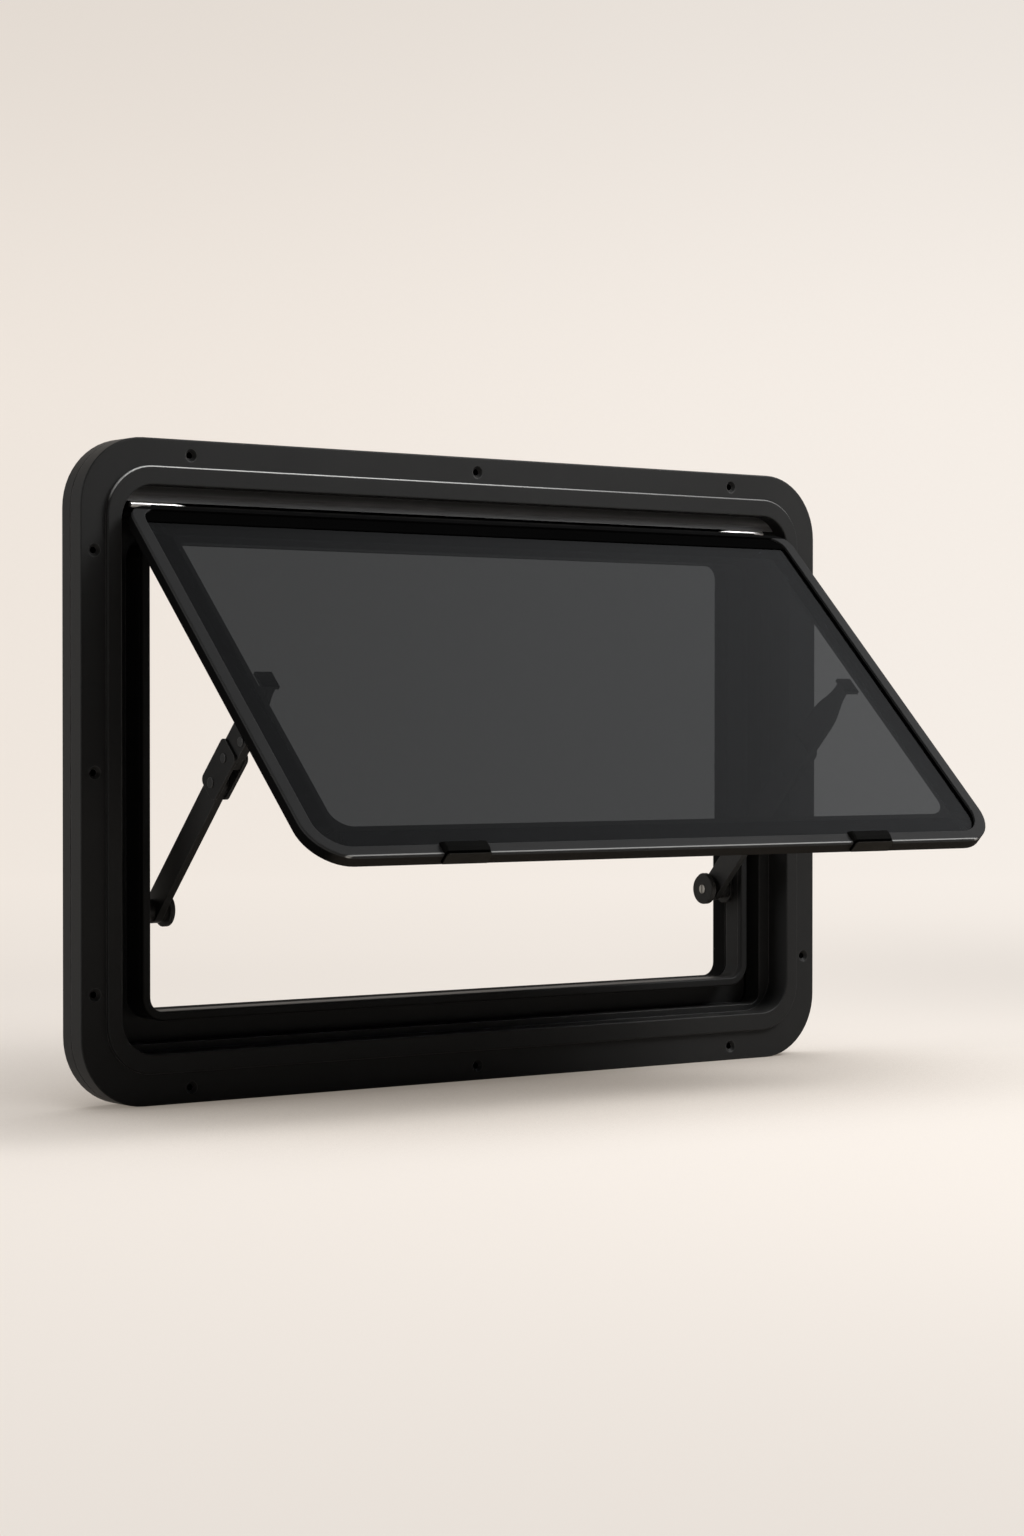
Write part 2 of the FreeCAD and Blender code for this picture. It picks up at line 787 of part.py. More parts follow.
def build():
    """Every sub-part by name, in the open position."""
    parts = {
        "outer_frame": make_outer_frame(),
        "frame_seal": make_frame_seal(),
        "hinge_rail": make_hinge_rail(),
        "hinge_pin": make_hinge_pin(),
        "header_strip": make_header_strip(),
        "right_end_stop": make_right_end_stop(),
        "left_end_stop": mirrored(make_right_end_stop()),
        "sash_frame": opened(make_sash_frame()),
        "glazing_gasket": opened(make_glazing_gasket()),
        "glass_pane": opened(make_glass_pane()),
        "glass_border": opened(make_glass_border()),
        "glazing_bead": opened(make_glazing_bead()),
        "hinge_leaf": opened(make_hinge_leaf()),
        "left_clip": opened(make_clip(left_clip_place)),
        "right_clip": opened(make_clip(right_clip_place)),
    }
    right_side = {
        "stay_tongue": opened(make_right_tongue()),
        "stay_sleeve": opened(make_right_sleeve()),
        "sleeve_screws": opened(make_right_sleeve_screws()),
        "stay_rivet": opened(make_right_rivet()),
        "stay_bar": make_right_bar(),
        "stay_slider": make_right_slider(),
        "stay_knob": make_right_knob(),
        "knob_screw": make_right_knob_screw(),
    }
    for name, shape in right_side.items():
        parts["right_" + name] = shape
        parts["left_" + name] = mirrored(shape)
    return parts


os.makedirs("parts", exist_ok=True)
for name, shape in build().items():
    shape.exportStep("parts/" + name + ".step")
    print(name, "solids", len(shape.Solids), "valid", shape.isValid(), "volume", round(shape.Volume, 1))
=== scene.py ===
"""Finishes, studio and camera for a top-hung caravan window that stands propped open.

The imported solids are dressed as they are. Lengths are metres and angles are degrees,
where a name doesn't say millimetres. X runs along the window, Y runs inwards through the
wall and Z runs up.
"""

import logging
import math
from dataclasses import dataclass
from enum import Enum

import bpy
from mathutils import Euler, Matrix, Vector

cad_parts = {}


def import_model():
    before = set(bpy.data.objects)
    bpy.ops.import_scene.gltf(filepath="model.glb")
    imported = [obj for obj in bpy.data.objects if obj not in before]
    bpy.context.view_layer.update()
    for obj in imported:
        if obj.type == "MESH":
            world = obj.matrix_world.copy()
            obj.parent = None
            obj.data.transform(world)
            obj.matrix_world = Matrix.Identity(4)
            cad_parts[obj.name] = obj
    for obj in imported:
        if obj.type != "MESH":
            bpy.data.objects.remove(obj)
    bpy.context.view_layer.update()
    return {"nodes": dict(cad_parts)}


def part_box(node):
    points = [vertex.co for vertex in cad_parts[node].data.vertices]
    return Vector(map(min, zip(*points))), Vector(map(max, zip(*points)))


LOG = logging.getLogger("caravan_window")

Colour = tuple[float, float, float]
Place = tuple[float, float, float]
Socket = bpy.types.NodeSocket


class Side(Enum):
    """The two stays, named as seen from outside."""

    LEFT = "left"
    RIGHT = "right"


class Desk:
    """A node tree with short calls to add nodes and join them."""

    def __init__(self, tree: bpy.types.NodeTree) -> None:
        """Take hold of a tree.

        Args:
            tree: The material's, world's or group's node tree.
        """
        self.tree = tree

    @classmethod
    def of_material(cls, name: str) -> tuple[bpy.types.Material, "Desk"]:
        """Start a material with an empty tree.

        Args:
            name: The material's name.

        Returns:
            The material and its desk.
        """
        material = bpy.data.materials.new(name)
        material.use_nodes = True
        material.node_tree.nodes.clear()
        return material, cls(material.node_tree)

    def add(self, kind: str, **settings: object) -> bpy.types.Node:
        """Add a node.

        Args:
            kind: The node's type name.
            settings: Properties to set on the node.

        Returns:
            The new node.
        """
        node = self.tree.nodes.new(kind)
        for name, value in settings.items():
            setattr(node, name, value)
        return node

    def join(self, start: Socket, end: Socket) -> None:
        """Link an output socket to an input socket."""
        self.tree.links.new(start, end)

    def feed(self, value: object, end: Socket) -> None:
        """Give an input either a link or a plain value.

        Args:
            value: An output socket, a number or a tuple.
            end: The input socket.
        """
        if isinstance(value, Socket):
            self.join(value, end)
        else:
            end.default_value = value

    def maths(self, operation: str, *values: object) -> Socket:
        """Add a Math node.

        Args:
            operation: The node's operation, such as MULTIPLY.
            values: Its inputs, in order.

        Returns:
            The result's socket.
        """
        node = self.add("ShaderNodeMath", operation=operation)
        for value, end in zip(values, node.inputs):
            self.feed(value, end)
        return node.outputs[0]

    def blend(self, share: object, first: object, second: object) -> Socket:
        """Mix two colours.

        Args:
            share: How much of the second colour shows.
            first: The first colour, as a socket or a tuple.
            second: The second colour, as a socket or a tuple.

        Returns:
            The mixed colour's socket.
        """
        node = self.add("ShaderNodeMix", data_type="RGBA", clamp_factor=True)
        self.feed(share, node.inputs[0])
        # A Mix node keeps its colours in inputs 6 and 7 and in output 2.
        for value, end in ((first, node.inputs[6]), (second, node.inputs[7])):
            self.feed(value if isinstance(value, Socket) else (*value, 1.0), end)
        return node.outputs[2]

    def vary(self, share: Socket, colour: Colour, least: float, most: float) -> Socket:
        """Vary a colour's lightness.

        Args:
            share: From 0, where the colour is darkest, to 1, where it is lightest.
            colour: The colour.
            least: What it is multiplied by at 0.
            most: What it is multiplied by at 1.

        Returns:
            The varied colour's socket.
        """
        return self.blend(share, tuple(c * least for c in colour), tuple(c * most for c in colour))

    def weigh(self, first: object, share: float, second: object, other: float) -> Socket:
        """Add two values, each times its own factor.

        Args:
            first: The first value or its socket.
            share: The first value's factor.
            second: The second value or its socket.
            other: The second value's factor.

        Returns:
            The sum's socket.
        """
        return self.maths("MULTIPLY_ADD", first, share, self.maths("MULTIPLY", second, other))

    def length(self, first: Socket, second: Socket) -> Socket:
        """Take the long side of a right triangle from its two legs."""
        square = self.maths("MULTIPLY", second, second)
        return self.maths("SQRT", self.maths("MULTIPLY_ADD", first, first, square))

    def shift(self, share: object, first: object, second: object) -> Socket:
        """Mix two numbers.

        Args:
            share: How much of the second number shows.
            first: The first number or its socket.
            second: The second number or its socket.

        Returns:
            The mixed number's socket.
        """
        node = self.add("ShaderNodeMix", data_type="FLOAT", clamp_factor=True)
        self.feed(share, node.inputs[0])
        self.feed(first, node.inputs[2])
        self.feed(second, node.inputs[3])
        return node.outputs[0]

    def ramp(self, value: Socket, low: float, high: float) -> Socket:
        """Map a value to 0 at low and 1 at high, smoothly and clamped.

        Args:
            value: The value's socket.
            low: Where the result is 0.
            high: Where the result is 1; it may lie below low.

        Returns:
            The result's socket.
        """
        node = self.add("ShaderNodeMapRange", interpolation_type="SMOOTHSTEP")
        self.join(value, node.inputs[0])
        if low < high:
            node.inputs[1].default_value, node.inputs[2].default_value = low, high
            return node.outputs[0]
        node.inputs[1].default_value, node.inputs[2].default_value = high, low
        return self.maths("SUBTRACT", 1.0, node.outputs[0])

    def place(self) -> Socket:
        """Add Object coordinates.

        Returns:
            The Object vector's socket.
        """
        return self.add("ShaderNodeTexCoord").outputs["Object"]

    def axes(self, vector: Socket) -> tuple[Socket, Socket, Socket]:
        """Split a vector.

        Args:
            vector: The vector's socket.

        Returns:
            Its X, Y and Z sockets.
        """
        split = self.add("ShaderNodeSeparateXYZ")
        self.join(vector, split.inputs[0])
        return split.outputs[0], split.outputs[1], split.outputs[2]

    def vector(self, x: object, y: object, z: object) -> Socket:
        """Put a vector together from numbers or sockets."""
        node = self.add("ShaderNodeCombineXYZ")
        for value, end in zip((x, y, z), node.inputs):
            self.feed(value, end)
        return node.outputs[0]

    def noise(self, vector: Socket, scale: object, detail: float = 2.0, rough: float = 0.5) -> Socket:
        """Add a Noise texture.

        Args:
            vector: Where it is read.
            scale: Cells in a metre.
            detail: Octaves.
            rough: Share of the finer octaves.

        Returns:
            The noise value's socket, near 0.5.
        """
        node = self.add("ShaderNodeTexNoise")
        self.join(vector, node.inputs["Vector"])
        self.feed(scale, node.inputs["Scale"])
        self.feed(detail, node.inputs["Detail"])
        self.feed(rough, node.inputs["Roughness"])
        return node.outputs[0]

    def group(self, tree: bpy.types.NodeTree, **values: object) -> bpy.types.Node:
        """Add a node group.

        Args:
            tree: The group.
            values: Input values or sockets, with underscores for spaces in their names.

        Returns:
            The group's node.
        """
        node = self.add("ShaderNodeGroup", node_tree=tree)
        for name, value in values.items():
            self.feed(value, node.inputs[name.replace("_", " ")])
        return node

    def gloss(self, share: Socket, spread: float, middle: float) -> Socket:
        """Vary a roughness about its middle.

        Args:
            share: A value near 0.5.
            spread: How far the roughness goes from share 0 to share 1.
            middle: The roughness at share 0.5.

        Returns:
            The roughness socket.
        """
        return self.maths("MULTIPLY_ADD", share, spread, middle - spread / 2.0)

    def bumped(
        self, height: Socket, distance: float, shader: bpy.types.Node, normal: Socket | None = None
    ) -> None:
        """Bump a shader's normal.

        Args:
            height: The height's socket, from 0 to 1.
            distance: The height of 1, in metres.
            shader: The shader that takes the normal.
            normal: The normal that is bumped, where it isn't the face's own.
        """
        bump = self.add("ShaderNodeBump")
        bump.inputs["Distance"].default_value = distance
        self.join(height, bump.inputs["Height"])
        if normal is not None:
            self.join(normal, bump.inputs["Normal"])
        self.join(bump.outputs[0], shader.inputs["Normal"])

    def close(self, shader: bpy.types.Node) -> None:
        """Join a shader to the material's output."""
        self.join(shader.outputs[0], self.add("ShaderNodeOutputMaterial").inputs[0])


class SashPlane:
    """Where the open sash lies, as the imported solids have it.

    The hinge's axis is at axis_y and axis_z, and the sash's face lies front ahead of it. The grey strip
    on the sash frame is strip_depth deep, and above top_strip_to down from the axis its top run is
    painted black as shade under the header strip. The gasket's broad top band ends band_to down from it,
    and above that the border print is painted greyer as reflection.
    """

    open_angle = 45.5
    axis_y = 0.004
    axis_z = 0.3864
    front = 0.0245
    strip_depth = 0.0021
    top_strip_to = 0.0265
    band_to = 0.0465


class Effects:
    """Shader groups that more than one finish uses."""

    def __init__(self) -> None:
        """Build each group once."""
        self.coat = self._coat()
        self.mottle = self._mottle()
        self.dust = self._dust()
        self.scuffs = self._scuffs()
        self.brushed = self._brushed()
        self.edge_wear_and_highlight = self._edge_wear_and_highlight()
        self.sash_place = self._sash_place()

    @staticmethod
    def _start(name: str, inputs: dict[str, float], outputs: tuple[str, ...]) -> tuple:
        """Start a group with number sockets and a Place vector.

        Args:
            name: The group's name.
            inputs: Number inputs with their defaults.
            outputs: Number outputs.

        Returns:
            The group, its desk, its input node and its output node.
        """
        tree = bpy.data.node_groups.new(name, "ShaderNodeTree")
        tree.interface.new_socket("Place", in_out="INPUT", socket_type="NodeSocketVector")
        for label, value in inputs.items():
            socket = tree.interface.new_socket(label, in_out="INPUT", socket_type="NodeSocketFloat")
            socket.default_value = value
        for label in outputs:
            tree.interface.new_socket(label, in_out="OUTPUT", socket_type="NodeSocketFloat")
        desk = Desk(tree)
        return tree, desk, desk.add("NodeGroupInput"), desk.add("NodeGroupOutput")

    def _coat(self) -> bpy.types.NodeTree:
        """Fine orange peel of a powder coat or a moulded skin.

        Returns:
            The group, with Height from 0 to 1.
        """
        tree, desk, start, end = self._start("coat_grain", {"Scale": 1400.0}, ("Height",))
        fine = desk.noise(start.outputs["Place"], start.outputs["Scale"], detail=2.0, rough=0.6)
        broader = desk.maths("MULTIPLY", start.outputs["Scale"], 0.22)
        broad = desk.noise(start.outputs["Place"], broader, detail=1.0)
        desk.join(desk.weigh(broad, 0.4, fine, 0.6), end.inputs["Height"])
        return tree

    def _mottle(self) -> bpy.types.NodeTree:
        """Broad, faint unevenness of tone and gloss.

        Returns:
            The group, with Value near 0.5.
        """
        tree, desk, start, end = self._start("soft_mottle", {"Scale": 9.0}, ("Value",))
        broad = desk.noise(start.outputs["Place"], start.outputs["Scale"], detail=4.0, rough=0.55)
        desk.join(broad, end.inputs["Value"])
        return tree

    def _dust(self) -> bpy.types.NodeTree:
        """Faint dust that lies on faces that look up.

        Returns:
            The group, with Mask from 0 to 1.
        """
        tree, desk, start, end = self._start("settled_dust", {"Amount": 0.1}, ("Mask",))
        normal = desk.add("ShaderNodeNewGeometry").outputs["Normal"]
        upward = desk.ramp(desk.axes(normal)[2], 0.35, 0.95)
        cloud = desk.noise(start.outputs["Place"], scale=60.0, detail=5.0)
        patches = desk.ramp(cloud, 0.35, 0.7)
        spread = desk.maths("MULTIPLY", upward, patches)
        desk.join(desk.maths("MULTIPLY", spread, start.outputs["Amount"]), end.inputs["Mask"])
        return tree

    def _scuffs(self) -> bpy.types.NodeTree:
        """Small rubbed marks and specks of handling.

        Returns:
            The group, with Mask from 0 to 1.
        """
        inputs = {"Amount": 0.3, "Scale": 220.0}
        tree, desk, start, end = self._start("handling_scuffs", inputs, ("Mask",))
        streaks = desk.add("ShaderNodeTexVoronoi", feature="DISTANCE_TO_EDGE")
        desk.join(start.outputs["Place"], streaks.inputs["Vector"])
        desk.join(start.outputs["Scale"], streaks.inputs["Scale"])
        paler_run = desk.ramp(streaks.outputs["Distance"], 0.02, 0.0)
        cloud = desk.noise(start.outputs["Place"], scale=35.0, detail=3.0)
        patches = desk.ramp(cloud, 0.58, 0.74)
        marks = desk.maths("MULTIPLY", paler_run, patches)
        desk.join(desk.maths("MULTIPLY", marks, start.outputs["Amount"]), end.inputs["Mask"])
        return tree

    def _brushed(self) -> bpy.types.NodeTree:
        """Fine lines that run along one direction.

        Returns:
            The group, with Line near 0.5; Place is already stretched.
        """
        tree, desk, start, end = self._start("brushed_lines", {"Scale": 1.0}, ("Line",))
        line = desk.noise(start.outputs["Place"], start.outputs["Scale"], detail=3.0, rough=0.7)
        desk.join(line, end.inputs["Line"])
        return tree

    def _edge_wear_and_highlight(self) -> bpy.types.NodeTree:
        """Sharp edges, a little rounded and rubbed, lightened as painted highlight where a coat catches
        the light.

        Returns:
            The group, with Mask from 0 to 1 and the rounded Normal.
        """
        inputs = {"Width": 0.0009, "Amount": 0.6}
        tree, desk, start, end = self._start("edge_wear_and_highlight", inputs, ("Mask",))
        rounded = desk.add("ShaderNodeBevel", samples=6)
        desk.join(start.outputs["Width"], rounded.inputs["Radius"])
        product = desk.add("ShaderNodeVectorMath", operation="DOT_PRODUCT")
        desk.join(rounded.outputs[0], product.inputs[0])
        desk.join(desk.add("ShaderNodeNewGeometry").outputs["Normal"], product.inputs[1])
        edge = desk.ramp(product.outputs["Value"], 0.998, 0.93)
        cloud = desk.noise(start.outputs["Place"], scale=45.0, detail=4.0, rough=0.6)
        uneven = desk.ramp(cloud, 0.3, 0.62)
        # Lightening by this mask stands for painted highlight on the edges, with a little wear.
        worn_and_highlight = desk.maths("MULTIPLY", edge, desk.maths("MULTIPLY_ADD", uneven, 0.6, 0.4))
        desk.join(desk.maths("MULTIPLY", worn_and_highlight, start.outputs["Amount"]), end.inputs["Mask"])
        tree.interface.new_socket("Normal", in_out="OUTPUT", socket_type="NodeSocketVector")
        desk.join(rounded.outputs[0], end.inputs["Normal"])
        return tree

    def _sash_place(self) -> bpy.types.NodeTree:
        """Distance down the open sash from the hinge's axis, along it, and behind its front.

        Returns:
            The group, with Down, Along and Depth in metres.
        """
        tree, desk, start, end = self._start("sash_place", {}, ("Down", "Along", "Depth"))
        x, y, z = desk.axes(start.outputs["Place"])
        angle = math.radians(SashPlane.open_angle)
        out = desk.maths("SUBTRACT", SashPlane.axis_y, y)
        low = desk.maths("SUBTRACT", SashPlane.axis_z, z)
        down = desk.weigh(low, math.cos(angle), out, math.sin(angle))
        behind = desk.weigh(low, math.sin(angle), out, -math.cos(angle))
        desk.join(down, end.inputs["Down"])
        desk.join(x, end.inputs["Along"])
        desk.join(desk.maths("ADD", behind, SashPlane.front), end.inputs["Depth"])
        return tree


@dataclass(frozen=True)
class PlainCoat:
    """A dark coat or moulding: one tone with mottle, grain, dust and faint scuffs."""

    name: str
    colour: Colour
    roughness: float
    specular: float = 0.5
    mottle_scale: float = 9.0
    mottle_share: float = 0.25
    gloss_share: float = 0.12
    grain_scale: float = 1400.0
    grain_height: float = 0.00002
    dust: float = 0.0
    dust_colour: Colour = (0.22, 0.2, 0.18)
    scuffs: float = 0.0
    scuff_colour: Colour = (0.05, 0.05, 0.05)
    wear_and_highlight: float = 0.5
    wear_and_highlight_width: float = 0.0006
    wear_and_highlight_colour: Colour = (0.09, 0.088, 0.085)

    def build(self, effects: Effects) -> bpy.types.Material:
        """Make the material.

        Args:
            effects: The shared shader groups.

        Returns:
            The material.
        """
        material, desk = Desk.of_material(self.name)
        shader = desk.add("ShaderNodeBsdfPrincipled")
        place = desk.place()
        mottle = desk.group(effects.mottle, Place=place, Scale=self.mottle_scale).outputs["Value"]
        tone = desk.vary(mottle, self.colour, 1.0 - self.mottle_share, 1.0 + self.mottle_share)
        if self.scuffs > 0.0:
            marks = desk.group(effects.scuffs, Place=place, Amount=self.scuffs).outputs["Mask"]
            tone = desk.blend(marks, tone, self.scuff_colour)
        if self.dust > 0.0:
            mask = desk.group(effects.dust, Place=place, Amount=self.dust).outputs["Mask"]
            tone = desk.blend(mask, tone, self.dust_colour)
        normal = None
        # Edges are lightened as painted highlight, with a little wear.
        if self.wear_and_highlight > 0.0:
            edges = desk.group(effects.edge_wear_and_highlight, Place=place, Width=self.wear_and_highlight_width, Amount=self.wear_and_highlight)
            tone = desk.blend(edges.outputs["Mask"], tone, self.wear_and_highlight_colour)
            normal = edges.outputs["Normal"]
        desk.join(tone, shader.inputs["Base Color"])
        gloss = desk.gloss(mottle, self.gloss_share, self.roughness)
        desk.join(gloss, shader.inputs["Roughness"])
        grain = desk.group(effects.coat, Place=place, Scale=self.grain_scale).outputs["Height"]
        desk.bumped(grain, self.grain_height, shader, normal)
        shader.inputs["Specular IOR Level"].default_value = self.specular
        desk.close(shader)
        return material


@dataclass(frozen=True)
class FrameCoat:
    """Black powder coat on the frame.

    The bead's upper edge has a painted highlight that fades to the right, and the faces that look into
    the opening are painted a matt dark as shade on the room's side.
    """

    name: str = "frame_coat"
    colour: Colour = (0.0118, 0.0118, 0.0116)
    inner_shade: Colour = (0.0012, 0.0012, 0.0012)
    worn_and_highlight: Colour = (0.09, 0.089, 0.087)
    wear_and_highlight_width: float = 0.0007
    scuff_colour: Colour = (0.03, 0.03, 0.03)
    dust_colour: Colour = (0.2, 0.19, 0.17)
    gleam: Colour = (0.46, 0.46, 0.45)
    faint_gleam: Colour = (0.13, 0.13, 0.128)
    gleam_from: float = -0.2
    gleam_to: float = 0.25
    bead_front: float = -0.0282
    middle: float = 0.225
    inner_shade_from: float = 0.0088
    inner_shade_to: float = 0.0094
    roughness: float = 0.46
    inner_shade_roughness: float = 0.9
    specular: float = 0.08
    grain_height: float = 0.000022

    def build(self, effects: Effects) -> bpy.types.Material:
        """Make the material.

        Args:
            effects: The shared shader groups.

        Returns:
            The material.
        """
        material, desk = Desk.of_material(self.name)
        shader = desk.add("ShaderNodeBsdfPrincipled")
        place = desk.place()
        mottle = desk.group(effects.mottle, Place=place, Scale=7.0).outputs["Value"]
        tone = desk.vary(mottle, self.colour, 0.8, 1.2)
        marks = desk.group(effects.scuffs, Place=place, Amount=0.25, Scale=160.0).outputs["Mask"]
        tone = desk.blend(marks, tone, self.scuff_colour)
        dust = desk.group(effects.dust, Place=place, Amount=0.05).outputs["Mask"]
        tone = desk.blend(dust, tone, self.dust_colour)
        # Edges are lightened as painted highlight, with a little wear.
        edges = desk.group(effects.edge_wear_and_highlight, Place=place, Width=self.wear_and_highlight_width)
        tone = desk.blend(edges.outputs["Mask"], tone, self.worn_and_highlight)
        x, y, z = desk.axes(place)
        # The painted highlight lies on the bead's front 3 mm, in the upper half, where the edge turns
        # up.
        on_bead = desk.ramp(y, self.bead_front + 0.003, self.bead_front + 0.0025)
        on_bead = desk.maths("MULTIPLY", on_bead, desk.ramp(z, self.middle, self.middle + 0.05))
        upward = desk.ramp(desk.axes(edges.outputs["Normal"])[2], 0.25, 0.6)
        fade = desk.ramp(x, self.gleam_from, self.gleam_to)
        gleam = desk.blend(fade, self.gleam, self.faint_gleam)
        tone = desk.blend(desk.maths("MULTIPLY", on_bead, upward), tone, gleam)
        # The painted shade lies on the room's side, where a face turns towards the middle of the
        # opening.
        facing = desk.axes(desk.add("ShaderNodeNewGeometry").outputs["Normal"])
        height = desk.maths("MULTIPLY", desk.maths("SUBTRACT", z, self.middle), facing[2])
        outward = desk.maths("MULTIPLY_ADD", x, facing[0], height)
        in_shade = desk.ramp(y, self.inner_shade_from, self.inner_shade_to)
        in_shade = desk.maths("MULTIPLY", in_shade, desk.ramp(outward, -0.004, -0.02))
        desk.join(desk.blend(in_shade, tone, self.inner_shade), shader.inputs["Base Color"])
        gloss = desk.gloss(mottle, 0.14, self.roughness)
        desk.join(desk.shift(in_shade, gloss, self.inner_shade_roughness), shader.inputs["Roughness"])
        grain = desk.group(effects.coat, Place=place, Scale=1500.0).outputs["Height"]
        desk.bumped(grain, self.grain_height, shader, edges.outputs["Normal"])
        shader.inputs["Specular IOR Level"].default_value = self.specular
        desk.close(shader)
        return material


@dataclass(frozen=True)
class SashCoat:
    """Satin grey on the sash's front strip, with lines drawn along it, and black behind it.

    A painted highlight runs along the strip's lower edge, the wall under it is painted a little lighter
    as light from below, and the strip's top run is painted black as shade under the header strip.
    """

    name: str = "sash_coat"
    face: Colour = (0.021, 0.0211, 0.0213)
    worn_and_highlight: Colour = (0.08, 0.08, 0.08)
    wear_and_highlight_width: float = 0.0007
    gleam: Colour = (0.2, 0.2, 0.196)
    wall: Colour = (0.0018, 0.0018, 0.0018)
    lit_lower_wall: Colour = (0.011, 0.01, 0.0088)
    gleam_from: float = 0.3473
    gleam_to: float = 0.3482
    gleam_blur: float = 0.0003
    strip_blur: float = 0.0004
    line_run: float = 14.0
    line_scale: float = 1500.0
    line_height: float = 0.000012
    side_from: float = 0.274
    side_to: float = 0.282
    roughness: float = 0.4
    wall_roughness: float = 0.75
    specular: float = 0.012

    def build(self, effects: Effects) -> bpy.types.Material:
        """Make the material.

        Args:
            effects: The shared shader groups.

        Returns:
            The material.
        """
        material, desk = Desk.of_material(self.name)
        shader = desk.add("ShaderNodeBsdfPrincipled")
        place = desk.place()
        lie = desk.group(effects.sash_place, Place=place)
        along, down = lie.outputs["Along"], lie.outputs["Down"]
        strip_depth, strip_top = SashPlane.strip_depth, SashPlane.top_strip_to
        back = desk.ramp(lie.outputs["Depth"], strip_depth - self.strip_blur, strip_depth)
        # Above top_strip_to the strip's top run takes the wall's black as painted shade under the header
        # strip.
        top = desk.ramp(down, strip_top + self.strip_blur, strip_top)
        behind = desk.maths("MAXIMUM", back, top)
        long = [desk.maths("MULTIPLY", value, self.line_run) for value in (along, down)]
        fine = [desk.maths("MULTIPLY", value, self.line_scale) for value in (along, down)]
        level = desk.vector(long[0], fine[1], 0.0)
        # The 3 keeps the side lines from repeating the level ones.
        upright = desk.vector(fine[0], long[1], 3.0)
        lines_level = desk.group(effects.brushed, Place=level).outputs["Line"]
        lines_upright = desk.group(effects.brushed, Place=upright).outputs["Line"]
        at_side = desk.ramp(desk.maths("ABSOLUTE", along), self.side_from, self.side_to)
        lines = desk.shift(at_side, lines_level, lines_upright)
        mottle = desk.group(effects.mottle, Place=place, Scale=12.0).outputs["Value"]
        face = desk.vary(mottle, self.face, 0.8, 1.2)
        # Edges are lightened as painted highlight, with a little wear.
        edges = desk.group(effects.edge_wear_and_highlight, Place=place, Width=self.wear_and_highlight_width)
        face = desk.blend(edges.outputs["Mask"], face, self.worn_and_highlight)
        # A painted highlight along the strip's lower edge.
        start = desk.ramp(down, self.gleam_from - self.gleam_blur, self.gleam_from + self.gleam_blur)
        stop = desk.ramp(down, self.gleam_to + self.gleam_blur, self.gleam_to - self.gleam_blur)
        face = desk.blend(desk.maths("MULTIPLY", start, stop), face, self.gleam)
        # The wall under the lower edge is painted lighter as light from below.
        near_edge = desk.ramp(down, self.gleam_from - 0.006, self.gleam_from)
        wall = desk.blend(near_edge, self.wall, self.lit_lower_wall)
        desk.join(desk.blend(behind, face, wall), shader.inputs["Base Color"])
        gloss = desk.gloss(lines, 0.16, self.roughness)
        desk.join(desk.shift(behind, gloss, self.wall_roughness), shader.inputs["Roughness"])
        desk.bumped(lines, self.line_height, shader, edges.outputs["Normal"])
        shader.inputs["Specular IOR Level"].default_value = self.specular
        desk.close(shader)
        return material


@dataclass(frozen=True)
class ClipCoat:
    """Matt moulded black of the clips, with a painted shade line above a foot under the sash that is
    painted paler as light from below.
    """

    name: str = "clip_coat"
    nose: Colour = (0.005, 0.005, 0.0048)
    crease_shade: Colour = (0.0003, 0.0003, 0.0003)
    foot: Colour = (0.016, 0.0151, 0.0134)
    crease_from: float = 0.3488
    foot_from: float = 0.3507
    blur: float = 0.0004
    edge_width: float = 0.0006
    roughness: float = 0.42
    specular: float = 0.0
    grain_height: float = 0.00002

    def build(self, effects: Effects) -> bpy.types.Material:
        """Make the material.

        Args:
            effects: The shared shader groups.

        Returns:
            The material.
        """
        material, desk = Desk.of_material(self.name)
        shader = desk.add("ShaderNodeBsdfPrincipled")
        place = desk.place()
        down = desk.group(effects.sash_place, Place=place).outputs["Down"]
        mottle = desk.group(effects.mottle, Place=place, Scale=40.0).outputs["Value"]
        nose = desk.vary(mottle, self.nose, 0.7, 1.3)
        foot = desk.vary(mottle, self.foot, 0.8, 1.2)
        # A painted shade line above the foot, and the foot painted paler as light from below.
        past_nose = desk.ramp(down, self.crease_from - self.blur, self.crease_from + self.blur)
        past_crease = desk.ramp(down, self.foot_from - self.blur, self.foot_from + self.blur)
        tone = desk.blend(past_nose, nose, self.crease_shade)
        tone = desk.blend(past_crease, tone, foot)
        desk.join(tone, shader.inputs["Base Color"])
        desk.join(desk.gloss(mottle, 0.12, self.roughness), shader.inputs["Roughness"])
        grain = desk.group(effects.coat, Place=place, Scale=1900.0).outputs["Height"]
        edges = desk.group(effects.edge_wear_and_highlight, Place=place, Width=self.edge_width, Amount=0.0)
        desk.bumped(grain, self.grain_height, shader, edges.outputs["Normal"])
        shader.inputs["Specular IOR Level"].default_value = self.specular
        desk.close(shader)
        return material


